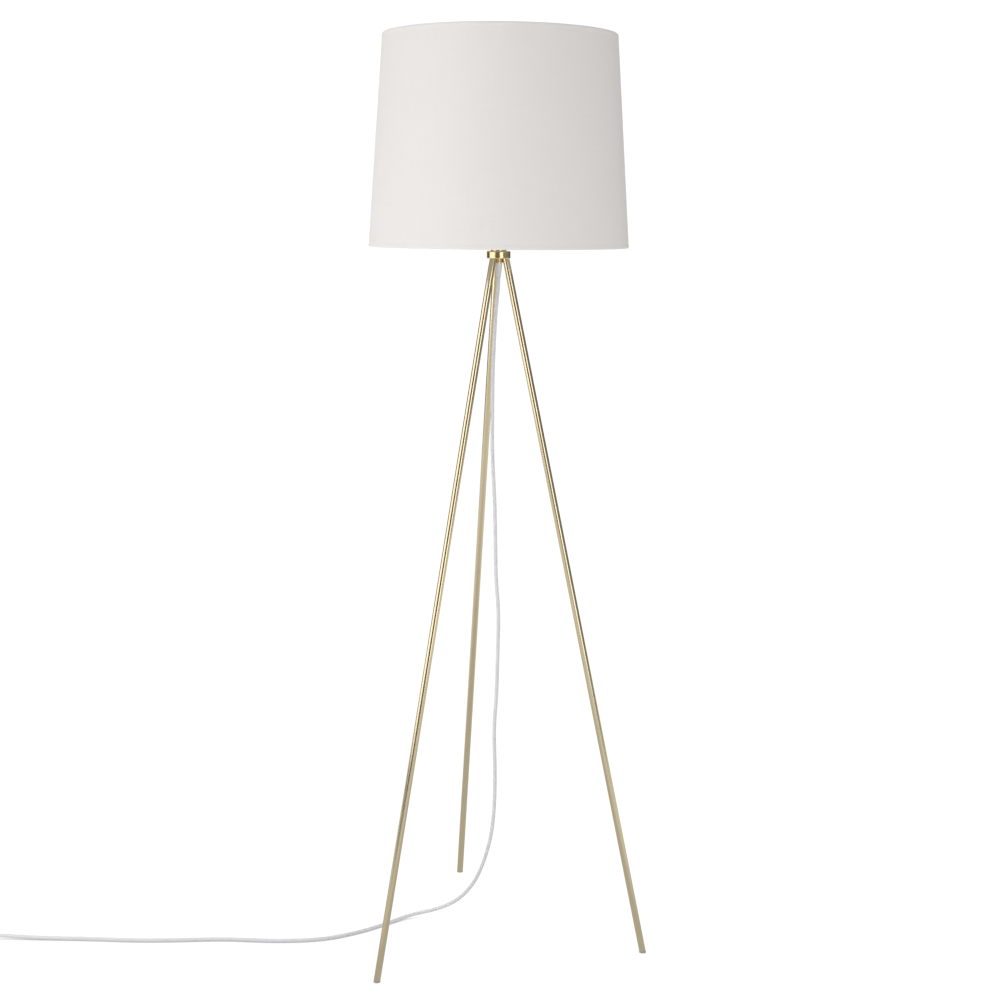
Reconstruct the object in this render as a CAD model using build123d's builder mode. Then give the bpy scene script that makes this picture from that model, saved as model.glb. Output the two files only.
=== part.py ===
from build123d import *
import os
from math import atan2, cos, radians, sin, tan

# Tripod floor lamp: three tube legs screwed into a turned hub, a screw lampholder on the hub,
# a conical fabric shade clamped to the holder, and a mains cord with a foot switch and a plug.
# Millimetres, +Z up. The origin is on the lamp's axis at floor level; the rear leg points to +Y.

# ---- driving dimensions ----
total_height = 1500.0
shade_height = 327.3
shade_top_radius = 184.3
shade_bottom_radius = 207.6
fabric_thickness = 0.5
liner_thickness = 0.4
rim_wire_radius = 1.5

hub_underside = 1154.5
hub_radius = 19.0
hub_height = 12.0
hub_rounding = 1.5
collar_radius = 12.5
collar_height = 4.5

foot_circle_radius = 262.3
leg_circle_radius_at_hub = 12.2
leg_tube_radius = 5.5
leg_tube_wall = 1.0
leg_azimuths = {"leg_right": 330, "leg_rear": 90, "leg_left": 210}
leg_end_height = 2.2
socket_depth = 2.0

thread_radius = 5.0
thread_gap = 0.03
nipple_bore = 3.5

cord_radius = 3.0
cord_exit_height = 1125.0

switch_origin = (-853.0, 174.0)
switch_heading = 166.0
switch_cord_height = 8.0

# ---- heights worked out from them ----
hub_top = hub_underside + hub_height
holder_base = hub_top + collar_height
shade_bottom = total_height - shade_height
lean = atan2(foot_circle_radius - leg_circle_radius_at_hub, hub_underside)

os.makedirs("parts", exist_ok=True)


def keep(piece, name):
    """Labels a finished piece and writes it to its own file."""
    piece.part.label = name
    export_step(piece.part, f"parts/{name}.step")


def leg_plane(azimuth, height):
    """The plane across a leg where its axis is at this height; its Z runs up the leg."""
    share = height / hub_underside
    radius = foot_circle_radius + share * (leg_circle_radius_at_hub - foot_circle_radius)
    out = Vector(cos(radians(azimuth)), sin(radians(azimuth)), 0)
    up_leg = Vector(-out.X * sin(lean), -out.Y * sin(lean), cos(lean))
    return Plane(origin=out * radius + Vector(0, 0, height), x_dir=(-out.Y, out.X, 0), z_dir=up_leg)


def switch_plane(height):
    """A level plane in the foot switch's frame: X runs along the cord, away from the lamp."""
    heading = radians(switch_heading)
    origin = (switch_origin[0], switch_origin[1], height)
    return Plane(origin=origin, x_dir=(cos(heading), sin(heading), 0), z_dir=(0, 0, 1))


def on_switch_floor(along, across, height):
    """The point of the row's frame at a place given in the foot switch's frame."""
    return switch_plane(height).from_local_coords((along, across, 0))


def wall_radius(height, inset):
    """The radius of the shade's cone at a height, that far inside its outer surface."""
    share = (height - shade_bottom) / shade_height
    return shade_bottom_radius + share * (shade_top_radius - shade_bottom_radius) - inset


def tube_path(points):
    """Straight runs joined by arcs as large as the two runs beside each corner allow."""
    corners = [Vector(*p) for p in points]
    radii = []
    for before, corner, after in zip(corners, corners[1:], corners[2:]):
        run_in = corner - before
        run_out = after - corner
        turn = run_in.get_angle(run_out)
        shorter = min(run_in.length, run_out.length)
        radii.append(0.45 * shorter / tan(radians(turn) / 2))
    print("radii", [round(r) for r in radii])
    return FilletPolyline(*corners, radius=radii)


# ---- hub: a turned disc with three leaning leg sockets and a threaded centre ----
stud_radius = 3.0
stud_reach = 10.0
with BuildPart() as hub:
    with BuildSketch(Plane.XY.offset(hub_underside)):
        Circle(hub_radius)
    extrude(amount=hub_height)
    rims = hub.edges().filter_by(GeomType.CIRCLE)
    fillet(rims, radius=hub_rounding)
    with BuildSketch(Plane.XY.offset(hub_underside)):
        Circle(thread_radius + thread_gap)
    extrude(amount=hub_height, mode=Mode.SUBTRACT)
    for azimuth in leg_azimuths.values():
        with BuildSketch(leg_plane(azimuth, hub_underside)):
            Circle(leg_tube_radius + thread_gap)
        extrude(amount=socket_depth, mode=Mode.SUBTRACT)
        with BuildSketch(leg_plane(azimuth, hub_underside)):
            Circle(leg_tube_radius + thread_gap)
        extrude(amount=-socket_depth, mode=Mode.SUBTRACT)
        with BuildSketch(leg_plane(azimuth, hub_underside)):
            Circle(stud_radius + thread_gap)
        extrude(amount=stud_reach, mode=Mode.SUBTRACT)
keep(hub, "hub")

with BuildPart() as collar:
    with BuildSketch(Plane.XY.offset(hub_top)):
        Circle(collar_radius)
        Circle(thread_radius + 0.1, mode=Mode.SUBTRACT)
    extrude(amount=collar_height)
    outer_edges = collar.edges().filter_by(GeomType.CIRCLE).sort_by(SortBy.RADIUS)[-2:]
    chamfer(outer_edges, length=0.5)
keep(collar, "hub_collar")

nipple_foot = hub_underside + 6.6
nipple_head = holder_base + 10.5
with BuildPart() as nipple:
    with BuildSketch(Plane.XY.offset(nipple_foot)):
        Circle(thread_radius)
        Circle(nipple_bore, mode=Mode.SUBTRACT)
    extrude(amount=nipple_head - nipple_foot)
    nipple_ends = nipple.edges().filter_by(GeomType.CIRCLE).sort_by(SortBy.RADIUS)[-2:]
    chamfer(nipple_ends, length=0.5)
keep(nipple, "threaded_nipple")

# ---- cord bush under the hub, and the strain relief that it holds ----
bush_neck_radius = 6.3
bush_radius = 7.3
bush_height = 7.0
bush_band = 2.0
bush_rounding = 1.0
bush_foot = hub_underside - bush_height
bush_pocket_radius = 4.6
bush_pocket_depth = 4.0
with BuildPart() as bush:
    with BuildSketch(Plane.XZ):
        with BuildLine():
            Polyline(
                (0, hub_underside),
                (bush_neck_radius, hub_underside),
                (bush_radius, bush_foot + bush_band),
                (bush_radius, bush_foot),
                (0, bush_foot),
                close=True,
            )
        make_face()
    revolve(axis=Axis.Z)
    fillet(bush.edges().group_by(Axis.Z)[0], radius=bush_rounding)
    with BuildSketch(Plane.XY.offset(hub_underside)):
        Circle(thread_radius)
    extrude(amount=6.0)
    with BuildSketch(Plane.XY.offset(bush_foot)):
        Circle(nipple_bore)
    extrude(amount=bush_height + 6.0, mode=Mode.SUBTRACT)
    with BuildSketch(Plane.XY.offset(bush_foot)):
        Circle(bush_pocket_radius)
    extrude(amount=bush_pocket_depth, mode=Mode.SUBTRACT)
keep(bush, "cord_bush")

relief_tip_radius = 3.7
relief_middle_radius = 5.1
relief_middle_height = cord_exit_height + 12.0
relief_root_radius = 6.0
with BuildPart() as relief:
    with BuildSketch(Plane.XZ):
        with BuildLine():
            Polyline(
                (cord_radius, cord_exit_height),
                (relief_tip_radius, cord_exit_height),
                (relief_middle_radius, relief_middle_height),
                (relief_root_radius, bush_foot),
                (bush_pocket_radius - 0.05, bush_foot),
                (bush_pocket_radius - 0.05, bush_foot + bush_pocket_depth - 0.1),
                (cord_radius, bush_foot + bush_pocket_depth - 0.1),
                close=True,
            )
        make_face()
    revolve(axis=Axis.Z)
keep(relief, "strain_relief")

sheath_end = holder_base + 5.0
with BuildPart() as inner_cord:
    with BuildSketch(Plane.XY.offset(cord_exit_height)):
        Circle(cord_radius - 0.05)
    extrude(amount=sheath_end - cord_exit_height)
keep(inner_cord, "cord_inside_hub")

# ---- legs, their studs and their foot pads ----
leg_length = (hub_underside - leg_end_height) / cos(lean) + socket_depth
for name, azimuth in leg_azimuths.items():
    with BuildPart() as leg:
        with BuildSketch(leg_plane(azimuth, leg_end_height)):
            Circle(leg_tube_radius)
            Circle(leg_tube_radius - leg_tube_wall, mode=Mode.SUBTRACT)
        extrude(amount=leg_length)
        mouth = leg.edges().filter_by(GeomType.CIRCLE).sort_by(SortBy.RADIUS)[-2:]
        chamfer(mouth, length=0.25)
    keep(leg, name)

stud_insert_length = 16.0
stud_insert_radius = leg_tube_radius - leg_tube_wall - 0.03
with BuildPart() as studs:
    for azimuth in leg_azimuths.values():
        with BuildSketch(leg_plane(azimuth, hub_underside)):
            Circle(stud_radius)
        extrude(amount=stud_reach - 0.5)
        with BuildSketch(leg_plane(azimuth, hub_underside)):
            Circle(stud_insert_radius)
        extrude(amount=-stud_insert_length)
keep(studs, "leg_studs")

pad_stem_length = 12.0
pad_drop = 6.0
for name, azimuth in leg_azimuths.items():
    with BuildPart() as pad:
        with BuildSketch(leg_plane(azimuth, leg_end_height)):
            Circle(stud_insert_radius)
        extrude(amount=pad_stem_length)
        with BuildSketch(leg_plane(azimuth, leg_end_height)):
            Circle(leg_tube_radius)
        extrude(amount=-pad_drop)
        split(bisect_by=Plane.XY, keep=Keep.TOP)
    keep(pad, name.replace("leg", "foot_pad"))

# ---- lampholder: cap, body, contact carrier, contacts, terminals and shade rings ----
cap_wall = 1.8
holder_radius = 19.9
cap_top = holder_base + 22.0
with BuildPart() as holder_cap:
    with BuildSketch(Plane.XZ):
        with BuildLine():
            Polyline(
                (thread_radius + thread_gap, holder_base),
                (13.0, holder_base),
                (15.5, holder_base + 2.0),
                (18.8, holder_base + 9.0),
                (holder_radius, holder_base + 15.0),
                (holder_radius, cap_top),
                (holder_radius - cap_wall, cap_top),
                (holder_radius - cap_wall, holder_base + 15.4),
                (17.1, holder_base + 10.0),
                (14.2, holder_base + 4.0),
                (8.0, holder_base + 3.0),
                (8.0, holder_base + 11.0),
                (thread_radius + thread_gap, holder_base + 11.0),
                close=True,
            )
        make_face()
    revolve(axis=Axis.Z)
keep(holder_cap, "lampholder_cap")

carrier_radius = 17.0
carrier_foot = cap_top + 1.0
carrier_height = 9.8
carrier_top = carrier_foot + carrier_height
socket_floor = carrier_top + 2.2
socket_radius = 13.5
socket_mouth = cap_top + 39.0
flange_radius = 23.0
side_contact_width = 5.0
with BuildPart() as holder_body:
    with BuildSketch(Plane.XY.offset(cap_top)):
        Circle(flange_radius)
    extrude(amount=3.5)
    chamfer(holder_body.edges().filter_by(GeomType.CIRCLE), length=0.6)
    with BuildSketch(Plane.XY.offset(cap_top)):
        Circle(holder_radius)
    extrude(amount=socket_mouth - cap_top)
    with BuildSketch(Plane.XY.offset(cap_top)):
        Circle(carrier_radius + 0.2)
    extrude(amount=carrier_top + 0.8 - cap_top, mode=Mode.SUBTRACT)
    with BuildSketch(Plane.XY.offset(cap_top)):
        Circle(5.0)
    extrude(amount=socket_mouth - cap_top, mode=Mode.SUBTRACT)
    with BuildSketch(Plane.XY.offset(socket_floor)):
        Circle(socket_radius)
    extrude(amount=socket_mouth - socket_floor, mode=Mode.SUBTRACT)
    with BuildSketch(Plane.XY.offset(carrier_top)):
        with Locations((13.5, 0)):
            Rectangle(2.4, side_contact_width + 1.0)
    extrude(amount=14.5, mode=Mode.SUBTRACT)
keep(holder_body, "lampholder_body")

terminal_places = [(-9.0, 5.0), (9.0, 5.0)]
wire_places = [(-9.0, -3.0), (9.0, -3.0)]
with BuildPart() as carrier:
    with BuildSketch(Plane.XY.offset(carrier_foot)):
        Circle(carrier_radius)
    extrude(amount=carrier_height)
    with BuildSketch(Plane.XY.offset(carrier_foot)):
        with Locations(*terminal_places):
            Circle(1.5)
        with Locations(*wire_places):
            Circle(1.2)
    extrude(amount=8.0, mode=Mode.SUBTRACT)
keep(carrier, "contact_carrier")

contact_thickness = 0.6
tip_height = socket_floor + 2.2
with BuildPart() as centre_contact:
    with BuildSketch(Plane.XZ):
        with BuildLine():
            Polyline(
                (-4.5, carrier_top),
                (4.5, carrier_top),
                (4.5, carrier_top + contact_thickness),
                (-2.4, carrier_top + contact_thickness),
                (2.4, tip_height - 0.1),
                (1.2, tip_height - 0.1),
                (-4.5, carrier_top + contact_thickness),
                close=True,
            )
        make_face()
    extrude(amount=2.0, both=True)
keep(centre_contact, "centre_contact")

with BuildPart() as side_contact:
    with BuildSketch(Plane.XZ):
        with BuildLine():
            Polyline(
                (8.0, carrier_top),
                (13.9, carrier_top),
                (13.9, carrier_top + 13.0),
                (13.3, carrier_top + 13.0),
                (13.3, carrier_top + contact_thickness),
                (8.0, carrier_top + contact_thickness),
                close=True,
            )
        make_face()
    extrude(amount=side_contact_width / 2, both=True)
keep(side_contact, "side_contact")

with BuildPart() as terminal_screws:
    with BuildSketch(Plane.XY.offset(carrier_foot)):
        with Locations(*terminal_places):
            Circle(1.45)
    extrude(amount=7.0)
    with BuildSketch(Plane.XY.offset(carrier_foot)):
        with Locations(*terminal_places):
            Circle(2.6)
    extrude(amount=-1.8)
    with BuildSketch(Plane.XY.offset(carrier_foot - 1.8)):
        with Locations(*terminal_places):
            Rectangle(5.4, 0.7)
    extrude(amount=0.8, mode=Mode.SUBTRACT)
keep(terminal_screws, "terminal_screws")

wire_radius = 1.0
for name, side in {"wire_live": -1, "wire_neutral": 1}.items():
    with BuildPart() as wire:
        with BuildLine() as wire_line:
            FilletPolyline(
                (side * 1.3, 0, sheath_end),
                (side * 1.3, 0, sheath_end + 7.0),
                (side * 9.0, -3.0, sheath_end + 12.0),
                (side * 9.0, -3.0, carrier_foot + 6.0),
                radius=2.5,
            )
        with BuildSketch(Plane(origin=(side * 1.3, 0, sheath_end), z_dir=(0, 0, 1))):
            Circle(wire_radius)
        sweep(path=wire_line.wire())
    keep(wire, name)

ring_outer = 28.0
ring_inner = holder_radius + 0.1
lower_ring_foot = cap_top + 6.0
lower_ring_height = 5.0
fitter_foot = lower_ring_foot + lower_ring_height
fitter_thickness = 1.2
upper_ring_foot = fitter_foot + fitter_thickness
upper_ring_height = 6.0
grip_count = 24
ring_places = {
    "shade_ring_lower": (lower_ring_foot, lower_ring_height),
    "shade_ring_upper": (upper_ring_foot, upper_ring_height),
}
for name, (foot, height) in ring_places.items():
    with BuildPart() as clamp_ring:
        with BuildSketch(Plane.XY.offset(foot)):
            Circle(ring_outer)
            Circle(ring_inner, mode=Mode.SUBTRACT)
            with PolarLocations(ring_outer + 0.5, grip_count):
                Circle(1.3, mode=Mode.SUBTRACT)
        extrude(amount=height)
    keep(clamp_ring, name)

# ---- bulb: opal globe, plastic skirt, light board, screw cap, insulator and tip ----
bulb_cap_radius = 13.1
bulb_cap_foot = tip_height + 4.0
bulb_cap_top = bulb_cap_foot + 23.0
skirt_top = bulb_cap_top + 27.0
skirt_radius = 27.0
globe_radius = 30.0
globe_centre = skirt_top + (globe_radius**2 - skirt_radius**2) ** 0.5
shell = 1.2
with BuildPart() as bulb_tip:
    with BuildSketch(Plane.XY.offset(tip_height)):
        Circle(4.5)
    extrude(amount=1.4)
    fillet(bulb_tip.edges().sort_by(Axis.Z)[0], radius=0.9)
keep(bulb_tip, "bulb_tip")

with BuildPart() as insulator:
    with BuildSketch(Plane.XY.offset(tip_height + 1.4)):
        Circle(4.8)
    with BuildSketch(Plane.XY.offset(bulb_cap_foot)):
        Circle(9.5)
    loft()
keep(insulator, "bulb_insulator")

thread_turns = 5
thread_pitch = 3.6
with BuildPart() as bulb_cap:
    with BuildSketch(Plane.XZ):
        with BuildLine():
            outline = [(0, bulb_cap_foot), (9.5, bulb_cap_foot), (12.4, bulb_cap_foot + 2.0)]
            for turn in range(thread_turns):
                root = bulb_cap_foot + 2.0 + turn * thread_pitch
                outline.append((bulb_cap_radius, root + 0.3 * thread_pitch))
                outline.append((bulb_cap_radius, root + 0.6 * thread_pitch))
                outline.append((12.4, root + thread_pitch))
            outline.append((bulb_cap_radius, bulb_cap_top - 2.0))
            outline.append((bulb_cap_radius, bulb_cap_top))
            outline.append((0, bulb_cap_top))
            Polyline(*outline, close=True)
        make_face()
    revolve(axis=Axis.Z)
keep(bulb_cap, "bulb_screw_cap")

with BuildPart() as skirt:
    with BuildSketch(Plane.XZ):
        with BuildLine():
            flare = Spline(
                (bulb_cap_radius, bulb_cap_top),
                (16.5, bulb_cap_top + 11.0),
                (skirt_radius, skirt_top),
                tangents=((0, 1), (0.45, 1)),
            )
            Polyline(flare @ 1, (skirt_radius - 2.2, skirt_top))
            Polyline(
                (skirt_radius - 2.2, skirt_top),
                (15.0, bulb_cap_top + 12.0),
                (10.8, bulb_cap_top + 1.5),
                (0, bulb_cap_top + 1.5),
                (0, bulb_cap_top),
                flare @ 0,
            )
        make_face()
    revolve(axis=Axis.Z)
keep(skirt, "bulb_skirt")

with BuildPart() as light_board:
    with BuildSketch(Plane.XY.offset(skirt_top - 3.4)):
        Circle(21.4)
    extrude(amount=1.6)
    with BuildSketch(Plane.XY.offset(skirt_top - 1.8)):
        with PolarLocations(13.0, 8):
            Rectangle(3.0, 3.0)
    extrude(amount=0.8)
keep(light_board, "bulb_light_board")

with BuildPart() as globe:
    with Locations((0, 0, globe_centre)):
        Sphere(globe_radius)
        Sphere(globe_radius - shell, mode=Mode.SUBTRACT)
    split(bisect_by=Plane.XY.offset(skirt_top), keep=Keep.TOP)
keep(globe, "bulb_globe")

# ---- shade: rim wires, fitter, spokes, liner and fabric with its edges turned in ----
wire_inset = fabric_thickness + liner_thickness + rim_wire_radius + 0.05
bottom_wire_height = shade_bottom + fabric_thickness + rim_wire_radius + 0.1
top_wire_height = total_height - fabric_thickness - rim_wire_radius - 0.1
for name, height in {"shade_wire_bottom": bottom_wire_height, "shade_wire_top": top_wire_height}.items():
    with BuildPart() as rim_wire:
        with BuildSketch(Plane.XZ):
            with Locations((wall_radius(height, wire_inset), height)):
                Circle(rim_wire_radius)
        revolve(axis=Axis.Z)
    keep(rim_wire, name)

fitter_outer = 31.0
with BuildPart() as fitter:
    with BuildSketch(Plane.XY.offset(fitter_foot)):
        Circle(fitter_outer)
        Circle(holder_radius + 0.6, mode=Mode.SUBTRACT)
    extrude(amount=fitter_thickness)
keep(fitter, "shade_fitter")

spoke_radius = 1.6
spoke_azimuths = (30, 150, 270)
spoke_end_radius = wall_radius(bottom_wire_height, wire_inset) - rim_wire_radius - 0.25
spoke_end_height = bottom_wire_height + 1.0
spoke_drop = fitter_foot + fitter_thickness / 2 - spoke_end_height
spoke_run = spoke_end_radius - fitter_outer - 0.3
spoke_length = (spoke_run**2 + spoke_drop**2) ** 0.5


def spoke_plane(azimuth):
    """The plane across a spoke's outer end; its Z runs inwards and up to the fitter."""
    out = Vector(cos(radians(azimuth)), sin(radians(azimuth)), 0)
    inward = out * (-spoke_run / spoke_length) + Vector(0, 0, spoke_drop / spoke_length)
    end = out * spoke_end_radius + Vector(0, 0, spoke_end_height)
    return Plane(origin=end, x_dir=(-out.Y, out.X, 0), z_dir=inward)


with BuildPart() as spokes:
    for azimuth in spoke_azimuths:
        with BuildSketch(spoke_plane(azimuth)):
            Circle(spoke_radius)
        extrude(amount=spoke_length)
keep(spokes, "shade_spokes")

liner_top = total_height - fabric_thickness - 0.1
liner_bottom = shade_bottom + fabric_thickness + 0.1
liner_back = fabric_thickness
liner_face = fabric_thickness + liner_thickness
with BuildPart() as liner:
    with BuildSketch(Plane.XZ):
        with BuildLine():
            Polyline(
                (wall_radius(liner_bottom, liner_back + 0.01), liner_bottom),
                (wall_radius(liner_top, liner_back + 0.01), liner_top),
                (wall_radius(liner_top, liner_face), liner_top),
                (wall_radius(liner_bottom, liner_face), liner_bottom),
                close=True,
            )
        make_face()
    revolve(axis=Axis.Z)
keep(liner, "shade_liner")

turned_edge = 9.0
fold_inset = liner_face + 2 * rim_wire_radius + 0.15
fold_face = fold_inset + fabric_thickness
rim_top = total_height - fabric_thickness
rim_bottom = shade_bottom + fabric_thickness
with BuildPart() as fabric:
    with BuildSketch(Plane.XZ) as fabric_section:
        with BuildLine():
            Polyline(
                (shade_bottom_radius, shade_bottom),
                (shade_top_radius, total_height),
                (wall_radius(total_height, fold_face), total_height),
                (wall_radius(total_height - turned_edge, fold_face), total_height - turned_edge),
                (wall_radius(total_height - turned_edge, fold_inset), total_height - turned_edge),
                (wall_radius(rim_top, fold_inset), rim_top),
                (wall_radius(rim_top, fabric_thickness), rim_top),
                (wall_radius(rim_bottom, fabric_thickness), rim_bottom),
                (wall_radius(rim_bottom, fold_inset), rim_bottom),
                (wall_radius(shade_bottom + turned_edge, fold_inset), shade_bottom + turned_edge),
                (wall_radius(shade_bottom + turned_edge, fold_face), shade_bottom + turned_edge),
                (wall_radius(shade_bottom, fold_face), shade_bottom),
                close=True,
            )
        make_face()
        rim_corners = fabric_section.vertices().group_by(Axis.Y)
        fillet(rim_corners[0] + rim_corners[-1], radius=0.45)
    revolve(axis=Axis.Z)
    for azimuth in spoke_azimuths:
        with BuildSketch(spoke_plane(azimuth)):
            Circle(spoke_radius + 0.15)
        extrude(amount=4.0, mode=Mode.SUBTRACT)
keep(fabric, "shade_fabric")

# ---- free cord: down from the hub, along the floor and into the foot switch ----
cord_route = [
    (0, 0, cord_exit_height),
    (0, 0, 1112),
    (-1.9, 0.5, 1092),
    (-4.2, 1.1, 1062),
    (-6.1, 1.7, 1020),
    (-7.8, 2.5, 968),
    (-7.8, 2.9, 900),
    (-7.3, 3.4, 835),
    (-3.3, 1.3, 765),
    (-1.7, -0.6, 690),
    (-0.9, -1.3, 630),
    (4.6, -2.2, 570),
    (3.4, -0.9, 500),
    (2.7, 0.4, 430),
    (-1.7, 1.5, 368),
    (1.3, 1.2, 290),
    (0.5, 1.9, 225),
    (-4, 4, 175),
    (-15, 10, 127),
    (-28.5, 24, 83),
    (-52, 47, 43),
    (-86, 70, 19),
    (-126, 91, 5),
    (-178, 67, 3),
    (-224, 47, 3),
    (-290, 32, 3),
    (-372, 45, 3),
    (-455, 74, 3),
    (-528, 86, 3),
    (-600, 101.5, 3),
    (-680, 127, 3),
    (-755, 147, 3.5),
    (-806, 162.4, 5),
    (switch_origin[0], switch_origin[1], switch_cord_height),
]
with BuildPart() as cord:
    with BuildLine() as cord_line:
        tube_path(cord_route)
    with BuildSketch(Plane(origin=cord_line.line @ 0, z_dir=cord_line.line % 0)):
        Circle(cord_radius)
    sweep(path=cord_line.wire())
keep(cord, "cord")
cord_length = cord_line.wire().length
section_area = 3.14159265 * cord_radius**2
print("cord", round(cord_length), "volume ratio", round(cord.part.volume / section_area / cord_length, 4))

# ---- foot switch: base, cover, grommets, mechanism, button, spring, screws and pads ----
case_length = 76.0
case_width = 54.0
case_corner = 24.0
case_wall = 2.0
case_outline = (case_length, case_width, case_corner)
case_hollow = (case_length - 2 * case_wall, case_width - 2 * case_wall, case_corner - case_wall)
case_start = 22.0
case_middle = case_start + case_length / 2
switch_length = 2 * case_middle
case_foot = 1.2
parting = switch_cord_height
cover_top = 22.0
pad_grid = (32.0, 40.0)
screw_grid = (48.0, 34.0)
boss_radius = 3.2
screw_clearance = 1.6
screw_pilot = 1.2
screw_head_radius = 3.0
screw_head_height = 1.7
pad_radius = 4.0
pad_pocket = 1.0
draft = 6
entry_radius = 4.05
middle = (case_middle, 0)
entry_plane = Plane(origin=on_switch_floor(case_start - 2, 0, parting), z_dir=switch_plane(0).x_dir)
entry_length = case_length + 4
with BuildPart() as switch_base:
    with BuildSketch(switch_plane(case_foot)):
        with Locations(middle):
            RectangleRounded(*case_outline)
    extrude(amount=parting - case_foot)
    fillet(switch_base.faces().sort_by(Axis.Z)[0].edges(), radius=1.0)
    with BuildSketch(switch_plane(case_foot + case_wall)):
        with Locations(middle):
            RectangleRounded(*case_hollow)
    extrude(amount=parting - case_foot, mode=Mode.SUBTRACT)
    with BuildSketch(switch_plane(case_foot + case_wall)):
        with Locations(middle):
            with GridLocations(*screw_grid, 2, 2):
                Circle(boss_radius)
    extrude(amount=parting - case_foot - case_wall)
    with BuildSketch(switch_plane(case_foot)):
        with Locations(middle):
            with GridLocations(*screw_grid, 2, 2):
                Circle(screw_clearance)
    extrude(amount=parting, mode=Mode.SUBTRACT)
    with BuildSketch(switch_plane(case_foot)):
        with Locations(middle):
            with GridLocations(*screw_grid, 2, 2):
                Circle(screw_head_radius + 0.1)
    extrude(amount=screw_head_height + 0.1, mode=Mode.SUBTRACT)
    with BuildSketch(switch_plane(case_foot)):
        with Locations(middle):
            with GridLocations(*pad_grid, 2, 2):
                Circle(pad_radius + 0.05)
    extrude(amount=pad_pocket, mode=Mode.SUBTRACT)
    with BuildSketch(entry_plane):
        Circle(entry_radius)
    extrude(amount=entry_length, mode=Mode.SUBTRACT)
keep(switch_base, "switch_base")

button_hole_radius = 15.6
with BuildPart() as switch_cover:
    with BuildSketch(switch_plane(parting)):
        with Locations(middle):
            RectangleRounded(*case_outline)
    extrude(amount=cover_top - parting, taper=draft)
    fillet(switch_cover.faces().sort_by(Axis.Z)[-1].edges(), radius=3.5)
    with BuildSketch(switch_plane(parting)):
        with Locations(middle):
            RectangleRounded(*case_hollow)
    extrude(amount=cover_top - parting - case_wall, taper=draft, mode=Mode.SUBTRACT)
    with BuildSketch(switch_plane(parting)):
        with Locations(middle):
            with GridLocations(*screw_grid, 2, 2):
                Circle(boss_radius)
    extrude(amount=cover_top - parting - case_wall)
    with BuildSketch(switch_plane(parting)):
        with Locations(middle):
            with GridLocations(*screw_grid, 2, 2):
                Circle(screw_pilot)
    extrude(amount=9.0, mode=Mode.SUBTRACT)
    with BuildSketch(switch_plane(cover_top - case_wall)):
        with Locations(middle):
            Circle(button_hole_radius)
    extrude(amount=case_wall, mode=Mode.SUBTRACT)
    with BuildSketch(entry_plane):
        Circle(entry_radius)
    extrude(amount=entry_length, mode=Mode.SUBTRACT)
keep(switch_cover, "switch_cover")

grommet_inside = 4.3
grommet_tip_radius = 3.7
grommet_steps = [(4.7, 1.5), (entry_radius - 0.05, 2.9), (5.2, 2.0)]
with BuildPart() as grommets:
    for way in (-1, 1):
        outward = switch_plane(0).x_dir * way
        foot = case_middle + way * (case_length / 2 - grommet_inside)
        for radius, length in grommet_steps:
            with BuildSketch(Plane(origin=on_switch_floor(foot, 0, parting), z_dir=outward)):
                Circle(radius)
            extrude(amount=length)
            foot += way * length
        with BuildSketch(Plane(origin=on_switch_floor(foot, 0, parting), z_dir=outward)):
            Circle(4.6)
        tip = case_middle + way * case_middle
        with BuildSketch(Plane(origin=on_switch_floor(tip, 0, parting), z_dir=outward)):
            Circle(grommet_tip_radius)
        loft()
    with BuildSketch(Plane(origin=on_switch_floor(-1, 0, parting), z_dir=switch_plane(0).x_dir)):
        Circle(cord_radius)
    extrude(amount=switch_length + 2, mode=Mode.SUBTRACT)
keep(grommets, "switch_grommets")

cord_end_length = 30.0
with BuildPart() as cord_ends:
    for along in (0, switch_length - cord_end_length):
        with BuildSketch(Plane(origin=on_switch_floor(along, 0, parting), z_dir=switch_plane(0).x_dir)):
            Circle(cord_radius - 0.05)
        extrude(amount=cord_end_length)
keep(cord_ends, "switch_cord_ends")

floor_inside = case_foot + case_wall + 0.1
block_top = 9.0
guide_top = 13.0
plunger_radius = 3.0
plunger_foot = 11.0
button_travel = 4.0
well_spare = 2.0
guide_radius = 4.6
block_size = (22, 16)
with BuildPart() as mechanism:
    with BuildSketch(switch_plane(floor_inside)):
        with Locations(middle):
            Rectangle(*block_size)
    extrude(amount=block_top - floor_inside)
    with BuildSketch(switch_plane(block_top)):
        with Locations(middle):
            Circle(guide_radius)
    extrude(amount=guide_top - block_top)
    with BuildSketch(switch_plane(plunger_foot - button_travel - well_spare)):
        with Locations(middle):
            Circle(plunger_radius + 0.05)
    extrude(amount=guide_top, mode=Mode.SUBTRACT)
keep(mechanism, "switch_mechanism")

terminal_grid = (34.0, 10.0)
with BuildPart() as switch_terminals:
    with BuildSketch(switch_plane(floor_inside)):
        with Locations(middle):
            with GridLocations(*terminal_grid, 2, 2):
                Rectangle(7, 6)
                Circle(1.55, mode=Mode.SUBTRACT)
    extrude(amount=6.0)
keep(switch_terminals, "switch_terminals")

with BuildPart() as switch_terminal_screws:
    with BuildSketch(switch_plane(floor_inside + 1.0)):
        with Locations(middle):
            with GridLocations(*terminal_grid, 2, 2):
                Circle(1.5)
    extrude(amount=5.0)
    with BuildSketch(switch_plane(floor_inside + 6.0)):
        with Locations(middle):
            with GridLocations(*terminal_grid, 2, 2):
                Circle(2.5)
    extrude(amount=1.6)
keep(switch_terminal_screws, "switch_terminal_screws")

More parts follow.
